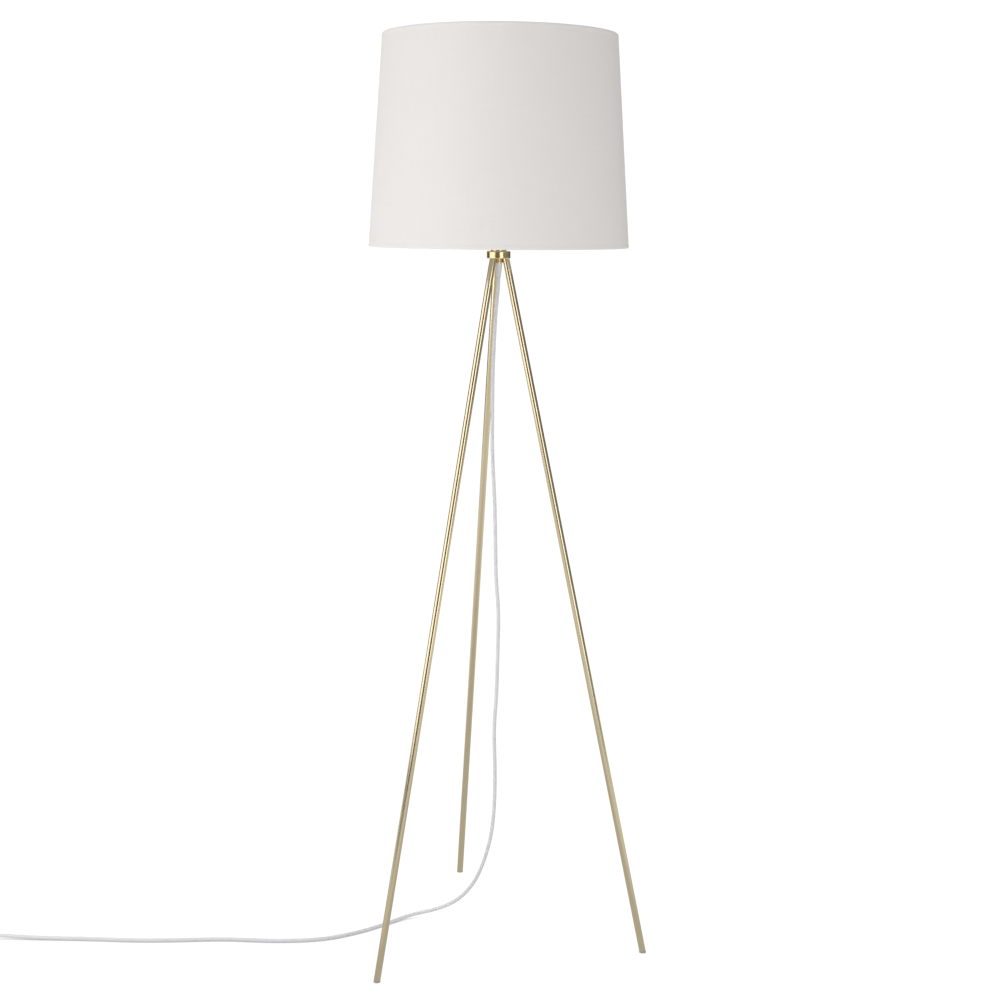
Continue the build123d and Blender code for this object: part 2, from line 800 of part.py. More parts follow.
button_radius = 15.3
button_flange = 17.3
flange_foot = 17.8
button_top = 26.0
dish_radius = 60.0
dish_depth = 1.2
button_hollow_radius = 12.0
button_hollow_depth = 5.0
with BuildPart() as button:
    with BuildSketch(switch_plane(flange_foot)):
        with Locations(middle):
            Circle(button_flange)
    extrude(amount=cover_top - case_wall - 0.2 - flange_foot)
    with BuildSketch(switch_plane(flange_foot)):
        with Locations(middle):
            Circle(button_radius)
    extrude(amount=button_top - flange_foot)
    fillet(button.faces().sort_by(Axis.Z)[-1].edges(), radius=2.0)
    with Locations(on_switch_floor(case_middle, 0, button_top + dish_radius - dish_depth)):
        Sphere(dish_radius, mode=Mode.SUBTRACT)
    with BuildSketch(switch_plane(flange_foot)):
        with Locations(middle):
            Circle(button_hollow_radius)
    extrude(amount=button_hollow_depth, mode=Mode.SUBTRACT)
    with BuildSketch(switch_plane(plunger_foot)):
        with Locations(middle):
            Circle(plunger_radius)
    extrude(amount=flange_foot + button_hollow_depth + 0.4 - plunger_foot)
keep(button, "switch_button")

coil_wire = 0.35
spring_foot = block_top + coil_wire + 0.02
spring_head = flange_foot + button_hollow_depth - coil_wire - 0.02
spring_turns = 6
spring_radius = 6.2
with BuildPart() as spring:
    with BuildLine() as spring_line:
        Helix(
            pitch=(spring_head - spring_foot) / spring_turns,
            height=spring_head - spring_foot,
            radius=spring_radius,
            center=on_switch_floor(case_middle, 0, spring_foot),
        )
    with BuildSketch(Plane(origin=spring_line.line @ 0, z_dir=spring_line.line % 0)):
        Circle(coil_wire)
    sweep(path=spring_line.wire(), is_frenet=True)
keep(spring, "switch_spring")

with BuildPart() as case_screws:
    with BuildSketch(switch_plane(case_foot + 0.1)):
        with Locations(middle):
            with GridLocations(*screw_grid, 2, 2):
                Circle(screw_head_radius)
    extrude(amount=screw_head_height)
    with BuildSketch(switch_plane(case_foot + 0.1)):
        with Locations(middle):
            with GridLocations(*screw_grid, 2, 2):
                Circle(1.15)
    extrude(amount=15.0)
    with BuildSketch(switch_plane(case_foot + 0.1)):
        with Locations(middle):
            with GridLocations(*screw_grid, 2, 2):
                Rectangle(3.4, 0.7)
                Rectangle(0.7, 3.4)
    extrude(amount=0.9, mode=Mode.SUBTRACT)
keep(case_screws, "switch_case_screws")

with BuildPart() as case_pads:
    with BuildSketch(switch_plane(0)):
        with Locations(middle):
            with GridLocations(*pad_grid, 2, 2):
                Circle(pad_radius)
    extrude(amount=case_foot + pad_pocket - 0.05)
keep(case_pads, "switch_pads")

# ---- the put-away length: a lead out of the switch, a tied coil, a tail and the plug ----
coil_middle_radius = 31.0
bundle_width = 12.8
bundle_height = 12.2
coil_foot = 0.9
coil_along = 158.0
coil_across = coil_middle_radius + cord_radius + 0.2
lead_route = [(switch_length, 0, parting), (131, 0, 6.6), (142, 0.3, 4.5)]
with BuildPart() as lead:
    with BuildLine() as lead_line:
        tube_path([on_switch_floor(*point) for point in lead_route])
    with BuildSketch(Plane(origin=lead_line.line @ 0, z_dir=lead_line.line % 0)):
        Circle(cord_radius)
    sweep(path=lead_line.wire())
keep(lead, "cord_lead")

with BuildPart() as coil:
    with BuildSketch(switch_plane(coil_foot)):
        with Locations((coil_along, coil_across)):
            Circle(coil_middle_radius + bundle_width / 2)
            Circle(coil_middle_radius - bundle_width / 2, mode=Mode.SUBTRACT)
    extrude(amount=bundle_height)
    fillet(coil.edges().filter_by(GeomType.CIRCLE), radius=2.8)
keep(coil, "cord_coil")

tie_thickness = 0.8
tie_width = 8.0
tie_slack = 0.6
tie_centre = on_switch_floor(coil_along + coil_middle_radius, coil_across, coil_foot + bundle_height / 2)
tie_inner = (bundle_width + tie_slack, bundle_height + 0.1)
tie_outer = (tie_inner[0] + 2 * tie_thickness, tie_inner[1] + 2 * tie_thickness)
with BuildPart() as tie:
    with BuildSketch(Plane(origin=tie_centre, x_dir=switch_plane(0).x_dir, z_dir=-switch_plane(0).y_dir)):
        RectangleRounded(*tie_outer, 3.2)
        RectangleRounded(*tie_inner, 2.4, mode=Mode.SUBTRACT)
    extrude(amount=tie_width / 2, both=True)
keep(tie, "coil_tie")

plug_height = 13.7
plug_along = 108.0
plug_across = coil_across + coil_middle_radius + cord_radius + 0.2
tail_route = [
    (141, plug_across - 0.1, 9.9),
    (130, plug_across + 0.2, 9.0),
    (119, plug_across, 7.4),
    (plug_along, plug_across, plug_height / 2),
]
with BuildPart() as tail:
    with BuildLine() as tail_line:
        tube_path([on_switch_floor(*point) for point in tail_route])
    with BuildSketch(Plane(origin=tail_line.line @ 0, z_dir=tail_line.line % 0)):
        Circle(cord_radius)
    sweep(path=tail_line.wire())
keep(tail, "cord_tail")


def plug_plane(offset):
    """The plane across the plug at this distance from its cord end, facing its pins."""
    origin = on_switch_floor(plug_along - offset, plug_across, plug_height / 2)
    return Plane(origin=origin, x_dir=switch_plane(0).y_dir, z_dir=-switch_plane(0).x_dir)


plug_face = 50.0
pin_spacing = 18.6
pin_length = 19.0
sleeve_length = 10.0
pin_radius = 2.0
pin_root_radius = 1.5
pin_root_length = 8.0
pin_gap = 0.03
pin_tip_rounding = 1.2
plug_neck_radius = 4.9
body_sections = [
    (14.0, 14, 10.4, 4.0),
    (24.0, 25, 12.8, 4.5),
    (37.0, 33, plug_height, 5.0),
    (plug_face, 35, plug_height, 5.0),
]
with BuildPart() as plug:
    with BuildSketch(plug_plane(0)):
        Circle(grommet_tip_radius)
    with BuildSketch(plug_plane(body_sections[0][0])):
        Circle(plug_neck_radius)
    loft()
    for offset, width, height, corner in body_sections:
        with BuildSketch(plug_plane(offset)):
            RectangleRounded(width, height, corner)
    loft(ruled=True)
    with BuildSketch(plug_plane(plug_face)):
        with GridLocations(pin_spacing, 1, 2, 1):
            Circle(pin_root_radius + pin_gap)
    extrude(amount=-pin_root_length - 0.1, mode=Mode.SUBTRACT)
keep(plug, "plug_body")

with BuildPart() as pins:
    with BuildSketch(plug_plane(plug_face - pin_root_length)):
        with GridLocations(pin_spacing, 1, 2, 1):
            Circle(pin_root_radius)
    extrude(amount=pin_root_length + sleeve_length)
    with BuildSketch(plug_plane(plug_face + sleeve_length)):
        with GridLocations(pin_spacing, 1, 2, 1):
            Circle(pin_radius)
    extrude(amount=pin_length - sleeve_length)
    ends = pins.faces().sort_by(Axis((0, 0, 0), plug_plane(0).z_dir))
    fillet(ends[-2:].edges(), radius=pin_tip_rounding)
keep(pins, "plug_pins")

with BuildPart() as sleeves:
    with BuildSketch(plug_plane(plug_face)):
        with GridLocations(pin_spacing, 1, 2, 1):
            Circle(pin_radius)
            Circle(pin_root_radius + pin_gap, mode=Mode.SUBTRACT)
    extrude(amount=sleeve_length)
keep(sleeves, "plug_pin_sleeves")
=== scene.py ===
from math import cos, pi, radians, sin, tau

import bmesh
import bpy
from mathutils import Matrix, Vector


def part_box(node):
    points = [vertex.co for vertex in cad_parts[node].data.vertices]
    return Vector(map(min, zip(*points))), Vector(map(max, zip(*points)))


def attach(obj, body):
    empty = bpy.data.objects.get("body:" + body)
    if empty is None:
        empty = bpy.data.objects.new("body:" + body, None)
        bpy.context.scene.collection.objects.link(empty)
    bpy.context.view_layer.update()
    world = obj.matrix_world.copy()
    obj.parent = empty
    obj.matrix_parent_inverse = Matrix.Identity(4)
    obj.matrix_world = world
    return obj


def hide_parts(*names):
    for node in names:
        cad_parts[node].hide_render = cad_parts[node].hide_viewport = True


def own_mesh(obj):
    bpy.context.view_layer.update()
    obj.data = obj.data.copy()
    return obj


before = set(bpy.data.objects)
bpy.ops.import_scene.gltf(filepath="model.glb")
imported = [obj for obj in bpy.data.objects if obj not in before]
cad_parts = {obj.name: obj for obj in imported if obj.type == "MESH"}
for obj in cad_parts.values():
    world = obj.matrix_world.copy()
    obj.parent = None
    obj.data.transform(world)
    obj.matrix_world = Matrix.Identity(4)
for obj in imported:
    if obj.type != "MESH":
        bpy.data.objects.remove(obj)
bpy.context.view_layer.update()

# Tripod floor lamp. Metres, +Z up, the origin on the lamp's axis at floor level.

MM = 0.001
CORD_DIAMETER = 0.006
LAMP = "lamp"

# ---- camera ----
CAMERA_PLACE = (-0.62517, -2.47764, 1.2272)
CAMERA_HEADING = -14.2821
CAMERA_PITCH = 10.336
CAMERA_ROLL = 0.464
CAMERA_LENS = 56.771
SENSOR_WIDTH = 36.0
FARTHEST_SEEN = 200.0


def make_camera():
    """The camera stands in front of the lamp, a little above its hub, and looks slightly down."""
    data = bpy.data.cameras.new("camera")
    data.sensor_width = SENSOR_WIDTH
    data.lens = CAMERA_LENS
    data.clip_end = FARTHEST_SEEN
    camera = bpy.data.objects.new("camera", data)
    bpy.context.scene.collection.objects.link(camera)
    turn = Matrix.Rotation(radians(CAMERA_HEADING), 4, "Z")
    tilt = Matrix.Rotation(radians(90.0 - CAMERA_PITCH), 4, "X")
    roll = Matrix.Rotation(radians(CAMERA_ROLL), 4, "Z")
    camera.matrix_world = Matrix.Translation(CAMERA_PLACE) @ turn @ tilt @ roll
    bpy.context.scene.camera = camera


make_camera()

# ---- node helpers ----


def new_material(name):
    """A material with its tree and its Principled shader."""
    material = bpy.data.materials.new(name)
    material.use_nodes = True
    tree = material.node_tree
    return material, tree, tree.nodes["Principled BSDF"]


def node(tree, kind, **settings):
    """Adds a node and sets its properties."""
    made = tree.nodes.new(kind)
    for key, value in settings.items():
        setattr(made, key, value)
    return made


def wire(tree, source, target):
    """Links two sockets."""
    tree.links.new(source, target)


def math_node(tree, operation, first, second=None):
    """A Math node fed by sockets or numbers, and returns its output."""
    made = node(tree, "ShaderNodeMath", operation=operation)
    for socket, value in zip(made.inputs, (first, second)):
        if value is None:
            continue
        if isinstance(value, (int, float)):
            socket.default_value = value
        else:
            wire(tree, value, socket)
    return made.outputs[0]


def place(tree, scale=(1, 1, 1), rotation=(0, 0, 0), source="Object"):
    """Coordinates scaled and turned, from the piece's own place or from its UV map."""
    coordinates = node(tree, "ShaderNodeTexCoord")
    mapping = node(tree, "ShaderNodeMapping")
    mapping.inputs["Scale"].default_value = scale
    mapping.inputs["Rotation"].default_value = rotation
    wire(tree, coordinates.outputs[source], mapping.inputs["Vector"])
    return mapping.outputs["Vector"]


def noise(tree, vector, scale, detail=3.0, roughness=0.5):
    """A noise texture's grey output."""
    made = node(tree, "ShaderNodeTexNoise")
    made.inputs["Scale"].default_value = scale
    made.inputs["Detail"].default_value = detail
    made.inputs["Roughness"].default_value = roughness
    wire(tree, vector, made.inputs["Vector"])
    return made.outputs["Fac"]


def between(tree, factor, low, high, start=0.3, end=0.7):
    """A colour or grey that goes from low to high as the factor goes from start to end."""
    ramp = node(tree, "ShaderNodeValToRGB")
    ramp.color_ramp.elements[0].position = start
    ramp.color_ramp.elements[1].position = end
    for element, value in zip(ramp.color_ramp.elements, (low, high)):
        if isinstance(value, (int, float)):
            value = (value, value, value)
        element.color = (*value, 1.0)
    wire(tree, factor, ramp.inputs["Fac"])
    return ramp.outputs["Color"]


def weighted(tree, first, second, share):
    """A share of the first value plus the rest of the second."""
    some = math_node(tree, "MULTIPLY", first, share)
    rest = math_node(tree, "MULTIPLY", second, 1.0 - share)
    return math_node(tree, "ADD", some, rest)


def bump(tree, shader, height, distance):
    """Feeds a height between 0 and 1, of a distance in metres, to the shader's normal."""
    made = node(tree, "ShaderNodeBump")
    made.inputs["Strength"].default_value = 1.0
    made.inputs["Distance"].default_value = distance
    wire(tree, height, made.inputs["Height"])
    wire(tree, made.outputs["Normal"], shader.inputs["Normal"])


def shaded(colour, amount):
    """The colour made lighter or darker by a share."""
    return tuple(min(1.0, channel * (1.0 + amount)) for channel in colour)


# ---- materials ----
# Scales count the noise's features in a metre, and shares and weights are parts of one.
MOTTLE_SCALE = 60.0
UNEVEN_GLOSS_SCALE = 220.0
PLASTIC_GLOSS = (0.88, 1.12)
COAT_ROUGHNESS = 0.15
HANDLING_SCALE = 14.0
METAL_GLOSS = (0.85, 1.2)
METAL_LINES_SHARE = 0.6
YARN_LONG = 18.0
YARN_SHORT = 900.0
CROSSING_RELIEF = 0.25
CLOTH_SPECULAR = 0.25
CORD_FUZZ = (40.0, 1800.0, 1.0)
# The cord's colour gets painted shade in the braid's grooves, darker where the relief is low, mixed with
# random fuzz of tone.
CORD_GROOVE_SHADE_SHARE = 0.6
CORD_SHADE_AND_FUZZ_TINT = (-0.06, 0.02)
CORD_TINT_RANGE = (0.05, 0.7)
CORD_ROUGHNESS = 0.85
CORD_SHEEN = 0.1
SHEEN_ROUGHNESS = 0.5


def plastic(name, colour, roughness, grain=0.00004, grain_scale=1400.0, mottle=0.02, coat=0.0):
    """Moulded plastic or rubber: slight mottling, a fine spark-eroded grain and uneven gloss."""
    material, tree, shader = new_material(name)
    where = place(tree)
    wide = noise(tree, where, MOTTLE_SCALE)
    fine = noise(tree, where, grain_scale, detail=2.0)
    tint = between(tree, wide, shaded(colour, -mottle), shaded(colour, mottle))
    wire(tree, tint, shader.inputs["Base Color"])
    uneven = noise(tree, where, UNEVEN_GLOSS_SCALE)
    smooth, rough = (min(1.0, roughness * share) for share in PLASTIC_GLOSS)
    wire(tree, between(tree, uneven, smooth, rough), shader.inputs["Roughness"])
    shader.inputs["Coat Weight"].default_value = coat
    shader.inputs["Coat Roughness"].default_value = COAT_ROUGHNESS
    bump(tree, shader, fine, grain)
    return material


def brushed(name, colour, roughness, stretch, rotation=(0, 0, 0), depth=0.00002, worn=0.05):
    """Satin metal: fine lines along the stretch, uneven gloss and faint handling marks."""
    material, tree, shader = new_material(name)
    lines = noise(tree, place(tree, stretch, rotation), 1.0, detail=4.0, roughness=0.6)
    cloud = noise(tree, place(tree), HANDLING_SCALE)
    shade = weighted(tree, lines, cloud, METAL_LINES_SHARE)
    tint = between(tree, shade, shaded(colour, -worn), shaded(colour, worn))
    wire(tree, tint, shader.inputs["Base Color"])
    smooth, rough = (roughness * share for share in METAL_GLOSS)
    wire(tree, between(tree, shade, smooth, rough), shader.inputs["Roughness"])
    shader.inputs["Metallic"].default_value = 1.0
    bump(tree, shader, lines, depth)
    return material


def leg_rotation(azimuth):
    """The turn that lays a leaning leg's own axis along the texture's Z."""
    lean = Matrix.Rotation(radians(-LEG_LEAN), 3, "Y") @ Matrix.Rotation(radians(-azimuth), 3, "Z")
    return tuple(lean.inverted().transposed().to_euler("XYZ"))


def woven(name, colour, pitch, depth, roughness, slub=0.02, sheen=0.1):
    """Plain-weave cloth from a UV map in metres: crossing threads with slightly uneven yarn."""
    material, tree, shader = new_material(name)
    coordinates = node(tree, "ShaderNodeTexCoord")
    split = node(tree, "ShaderNodeSeparateXYZ")
    wire(tree, coordinates.outputs["UV"], split.inputs["Vector"])
    turns = tau / (2.0 * pitch)
    across = math_node(tree, "SINE", math_node(tree, "MULTIPLY", split.outputs["X"], turns))
    up = math_node(tree, "SINE", math_node(tree, "MULTIPLY", split.outputs["Y"], turns))
    weft = math_node(tree, "ABSOLUTE", across)
    warp = math_node(tree, "ABSOLUTE", up)
    over = math_node(tree, "MULTIPLY", across, up)
    threads = math_node(tree, "MULTIPLY", math_node(tree, "ADD", weft, warp), 0.5)
    crossings = math_node(tree, "MULTIPLY", over, CROSSING_RELIEF)
    bump(tree, shader, math_node(tree, "ADD", threads, crossings), depth)
    level = noise(tree, place(tree, (YARN_LONG, YARN_SHORT, 1.0), source="UV"), 1.0, detail=2.0)
    upright = noise(tree, place(tree, (YARN_SHORT, YARN_LONG, 1.0), source="UV"), 1.0, detail=2.0)
    yarn = math_node(tree, "MULTIPLY", math_node(tree, "ADD", level, upright), 0.5)
    tint = between(tree, yarn, shaded(colour, -slub), shaded(colour, slub))
    wire(tree, tint, shader.inputs["Base Color"])
    shader.inputs["Roughness"].default_value = roughness
    shader.inputs["Specular IOR Level"].default_value = CLOTH_SPECULAR
    shader.inputs["Sheen Weight"].default_value = sheen
    shader.inputs["Sheen Roughness"].default_value = SHEEN_ROUGHNESS
    return material


def braided(name, colour, carriers, pitch, depth):
    """A textile braid from a UV map: X once round the cord, Y along it in metres, with painted shade in
    its grooves.
    """
    material, tree, shader = new_material(name)
    coordinates = node(tree, "ShaderNodeTexCoord")
    split = node(tree, "ShaderNodeSeparateXYZ")
    wire(tree, coordinates.outputs["UV"], split.inputs["Vector"])
    round_it = math_node(tree, "MULTIPLY", split.outputs["X"], tau * carriers / 2.0)
    along = math_node(tree, "MULTIPLY", split.outputs["Y"], tau / pitch)
    left = math_node(tree, "SINE", math_node(tree, "ADD", round_it, along))
    right = math_node(tree, "SINE", math_node(tree, "SUBTRACT", round_it, along))
    relief = math_node(tree, "ABSOLUTE", math_node(tree, "MULTIPLY", left, right))
    bump(tree, shader, relief, depth)
    # Painted shade: the colour runs darker in the grooves where the relief is low, and the fuzz adds
    # random tone.
    fuzz = noise(tree, place(tree, CORD_FUZZ, source="UV"), 1.0, detail=2.0)
    shade = weighted(tree, relief, fuzz, CORD_GROOVE_SHADE_SHARE)
    dark, light = (shaded(colour, amount) for amount in CORD_SHADE_AND_FUZZ_TINT)
    tint = between(tree, shade, dark, light, *CORD_TINT_RANGE)
    wire(tree, tint, shader.inputs["Base Color"])
    shader.inputs["Roughness"].default_value = CORD_ROUGHNESS
    shader.inputs["Sheen Weight"].default_value = CORD_SHEEN
    shader.inputs["Sheen Roughness"].default_value = SHEEN_ROUGHNESS
    return material


HUB_GOLD = (0.70, 0.57, 0.32)
LEG_GOLD = (0.66, 0.565, 0.375)
LEG_LEAN = 12.22
LEG_AZIMUTHS = {"leg_right": 330, "leg_rear": 90, "leg_left": 210}
ALONG_TUBE = (2600.0, 2600.0, 14.0)
ROUND_TURNING = (30.0, 30.0, 2600.0)

turned_gold = brushed("gold_turned", HUB_GOLD, 0.2, ROUND_TURNING)
leg_golds = {
    name: brushed(f"gold_{name}", LEG_GOLD, 0.17, ALONG_TUBE, leg_rotation(azimuth))
    for name, azimuth in LEG_AZIMUTHS.items()
}
zinc = brushed("zinc_plated", (0.62, 0.62, 0.63), 0.34, ROUND_TURNING)
nickel = brushed("nickel_plated", (0.74, 0.73, 0.71), 0.2, ROUND_TURNING, depth=0.00001)
contact_metal = brushed("contact_brass", (0.80, 0.62, 0.30), 0.3, ROUND_TURNING)
bulb_cap_metal = brushed("bulb_cap", (0.76, 0.76, 0.77), 0.28, ROUND_TURNING)
shade_cloth = woven("shade_cloth", (0.88, 0.85, 0.827), pitch=0.0005, depth=0.00006, roughness=0.9)
liner_plastic = plastic("liner_plastic", (0.86, 0.86, 0.85), 0.5)
wire_paint = plastic("wire_paint", (0.84, 0.84, 0.83), 0.35, grain=0.00002, grain_scale=700.0)
holder_plastic = plastic("holder_plastic", (0.84, 0.84, 0.82), 0.45)
carrier_plastic = plastic("carrier_plastic", (0.70, 0.69, 0.65), 0.5)
pad_rubber = plastic("pad_rubber", (0.40, 0.41, 0.37), 0.7, grain=0.0001, grain_scale=900.0, mottle=0.05)
soft_pvc = plastic("soft_pvc", (0.86, 0.86, 0.87), 0.5)
case_plastic = plastic(
    "case_plastic", (0.84, 0.84, 0.84), 0.3, grain=0.00002, grain_scale=2200.0, mottle=0.01, coat=0.1
)
black_plastic = plastic("black_plastic", (0.03, 0.03, 0.03), 0.5)
black_glass = plastic("black_glass", (0.02, 0.02, 0.022), 0.15, grain=0.00001, grain_scale=300.0)
opal = plastic("opal", (0.90, 0.90, 0.88), 0.22, grain=0.00001, grain_scale=300.0, mottle=0.01, coat=0.2)
bulb_plastic = plastic("bulb_plastic", (0.85, 0.85, 0.85), 0.3, coat=0.1)
board_mask = plastic("board_mask", (0.86, 0.87, 0.85), 0.25)
brown_insulation = plastic("brown_insulation", (0.16, 0.065, 0.025), 0.45)
blue_insulation = plastic("blue_insulation", (0.02, 0.08, 0.35), 0.45)
cord_solid = plastic(
    "cord_end_textile", (0.86, 0.86, 0.88), 0.85, grain=0.0001, grain_scale=1100.0, mottle=0.06
)
tie_tape = plastic("tie_tape", (0.78, 0.78, 0.79), 0.9, grain=0.00015, grain_scale=1700.0, mottle=0.05)
cord_braid = braided("cord_braid", (0.88, 0.88, 0.90), carriers=16, pitch=0.0062, depth=0.00022)

NODE_MATERIALS = {
    turned_gold: ["hub", "hub_collar", "cord_bush"],
    zinc: ["threaded_nipple", "leg_studs", "switch_terminal_screws", "switch_case_screws"],
    nickel: ["plug_pins"],
    contact_metal: ["centre_contact", "side_contact", "terminal_screws", "switch_terminals"],
    bulb_cap_metal: ["bulb_tip", "bulb_screw_cap"],
    liner_plastic: ["shade_liner"],
    wire_paint: ["shade_wire_bottom", "shade_wire_top", "shade_fitter", "shade_spokes"],
    holder_plastic: ["lampholder_cap", "lampholder_body", "shade_ring_lower", "shade_ring_upper"],
    carrier_plastic: ["contact_carrier", "switch_mechanism"],
    pad_rubber: ["foot_pad_right", "foot_pad_rear", "foot_pad_left", "switch_pads"],
    soft_pvc: ["strain_relief", "switch_grommets", "plug_body"],
    case_plastic: ["switch_base", "switch_cover", "switch_button"],
    black_plastic: ["plug_pin_sleeves"],
    black_glass: ["bulb_insulator"],
    opal: ["bulb_globe"],
    bulb_plastic: ["bulb_skirt"],
    board_mask: ["bulb_light_board"],
    brown_insulation: ["wire_live"],
    blue_insulation: ["wire_neutral"],
    cord_solid: ["cord_inside_hub", "switch_cord_ends"],
    tie_tape: ["coil_tie"],
}
for name, material in leg_golds.items():
    NODE_MATERIALS[material] = [name]
for material, names in NODE_MATERIALS.items():
    for name in names:
        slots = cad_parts[name].material_slots
        if slots:
            for one in slots:
                one.material = material
        else:
            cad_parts[name].data.materials.append(material)


# ---- cords ----
TUBE_SIDES = 24


def new_object(name, mesh, material):
    """Links a mesh as a piece that rides on the lamp."""
    piece = bpy.data.objects.new(name, mesh)
    bpy.context.scene.collection.objects.link(piece)
    mesh.materials.append(material)
    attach(piece, LAMP)
    return piece


def smooth_line(points, steps):
    """The points of a NURBS spline of order 3 that has these control points."""
    curve = bpy.data.curves.new("route", "CURVE")
    curve.dimensions = "3D"
    curve.resolution_u = steps
    spline = curve.splines.new("NURBS")
    spline.points.add(len(points) - 1)
    for target, point in zip(spline.points, points):
        target.co = (*point, 1.0)
    spline.order_u = 3
    spline.use_endpoint_u = True
    holder = bpy.data.objects.new("route", curve)
    bpy.context.scene.collection.objects.link(holder)
    bpy.context.view_layer.update()
    line = bpy.data.meshes.new_from_object(holder)
    found = [vertex.co.copy() for vertex in line.vertices]
    bpy.data.objects.remove(holder)
    bpy.data.curves.remove(curve)
    bpy.data.meshes.remove(line)
    return found


def tube(name, line, radius, material):
    """A round tube along a line, closed at both ends, with a UV map: once round, and metres along."""
    mesh = bmesh.new()
    uv = mesh.loops.layers.uv.new("UVMap")
    forward = (line[1] - line[0]).normalized()
    side = forward.orthogonal().normalized()
    rings = []
    travelled = [0.0]
    for index, point in enumerate(line):
        ahead = line[min(index + 1, len(line) - 1)] - line[max(index - 1, 0)]
        turned = ahead.normalized()
        side = (forward.rotation_difference(turned) @ side).normalized()
        side = (side - turned * side.dot(turned)).normalized()
        forward = turned
        up = forward.cross(side)
        ring = []
        for count in range(TUBE_SIDES):
            angle = tau * count / TUBE_SIDES
            ring.append(mesh.verts.new(point + (side * cos(angle) + up * sin(angle)) * radius))
        rings.append(ring)
        if index:
            travelled.append(travelled[-1] + (point - line[index - 1]).length)
    for index in range(len(rings) - 1):
        here, ahead = rings[index], rings[index + 1]
        for count in range(TUBE_SIDES):
            after = (count + 1) % TUBE_SIDES
            face = mesh.faces.new((here[count], here[after], ahead[after], ahead[count]))
            face.smooth = True
            places = ((count, index), (count + 1, index), (count + 1, index + 1), (count, index + 1))
            for loop, (turn, step) in zip(face.loops, places):
                loop[uv].uv = (turn / TUBE_SIDES, travelled[step])
    mesh.faces.new(rings[0][::-1])
    mesh.faces.new(rings[-1])
    data = bpy.data.meshes.new(name)
    mesh.to_mesh(data)
    mesh.free()
    return new_object(name, data, material)


LAMP_CORD_STEPS = 10
LAMP_CORD_ROUTE = [
    (0.0, 0.0, 1.125),
    (0.0, 0.0, 1.112),
    (-0.0019, 0.0005, 1.092),
    (-0.0042, 0.0011, 1.062),
    (-0.0061, 0.0017, 1.02),
    (-0.0078, 0.0025, 0.968),
    (-0.0078, 0.0029, 0.9),
    (-0.0073, 0.0034, 0.835),
    (-0.0033, 0.0013, 0.765),
    (-0.0017, -0.0006, 0.69),
    (-0.0009, -0.0013, 0.63),
    (0.0046, -0.0022, 0.57),
    (0.0034, -0.0009, 0.5),
    (0.0027, 0.0004, 0.43),
    (-0.0017, 0.0015, 0.368),
    (0.0013, 0.0012, 0.29),
    (0.0005, 0.0019, 0.225),
    (-0.004, 0.004, 0.175),
    (-0.015, 0.01, 0.127),
    (-0.0285, 0.024, 0.083),
    (-0.052, 0.047, 0.043),
    (-0.086, 0.07, 0.019),
    (-0.126, 0.091, 0.005),
    (-0.178, 0.067, 0.003),
    (-0.224, 0.047, 0.003),
    (-0.29, 0.032, 0.003),
    (-0.372, 0.045, 0.003),
    (-0.455, 0.074, 0.003),
    (-0.528, 0.086, 0.003),
    (-0.6, 0.1015, 0.003),
    (-0.68, 0.127, 0.003),
    (-0.755, 0.147, 0.0035),
    (-0.806, 0.1624, 0.005),
    (-0.853, 0.174, 0.008),
]
SWITCH_ORIGIN = (-0.853, 0.174)
SWITCH_HEADING = radians(166.0)


def on_switch_floor(along, across, height):
    """The point in metres for a place given in millimetres in the foot switch's frame."""
    run = (cos(SWITCH_HEADING) * MM, sin(SWITCH_HEADING) * MM)
    x = SWITCH_ORIGIN[0] + along * run[0] - across * run[1]
    y = SWITCH_ORIGIN[1] + along * run[1] + across * run[0]
    return (x, y, height * MM)


# The put-away cord and the plug, in millimetres in the foot switch's frame.
SWITCH_LENGTH = 120.0
SWITCH_CORD_HEIGHT = 8.0
LEAD_OUT = [(SWITCH_LENGTH, 0.0, SWITCH_CORD_HEIGHT), (131.0, 0.0, 6.6), (143.0, 0.0, 4.6)]
COIL_ALONG = 158.0
COIL_ACROSS = 34.2
COIL_MIDDLE = 31.0
COIL_HALF_STEP = 3.25
COIL_LOW = 4.0
COIL_HIGH = 10.2
COIL_OUTER = COIL_MIDDLE + COIL_HALF_STEP
COIL_INNER = COIL_MIDDLE - COIL_HALF_STEP
COIL_TURNS = 4.5
TURN_POINTS = 16
# (turns done, radius, height): low and wide, low and narrow, high and narrow, high and wide.
COIL_STATIONS = [
    (0.0, COIL_OUTER, COIL_LOW),
    (0.85, COIL_OUTER, COIL_LOW),
    (1.1, COIL_INNER, COIL_LOW),
    (1.9, COIL_INNER, COIL_LOW),
    (2.1, COIL_INNER, COIL_HIGH),
    (2.95, COIL_INNER, COIL_HIGH),
    (3.2, COIL_OUTER, COIL_HIGH),
    (COIL_TURNS, COIL_OUTER, COIL_HIGH),
]
PLUG_ALONG = 108.0
PLUG_ACROSS = 68.4
PLUG_MIDDLE_HEIGHT = 6.85
TAIL = [
    (146.0, PLUG_ACROSS, 10.0),
    (133.0, PLUG_ACROSS + 0.2, 9.0),
    (120.0, PLUG_ACROSS, 7.4),
    (PLUG_ALONG, PLUG_ACROSS, PLUG_MIDDLE_HEIGHT),
]
COIL_CORD_STEPS = 6


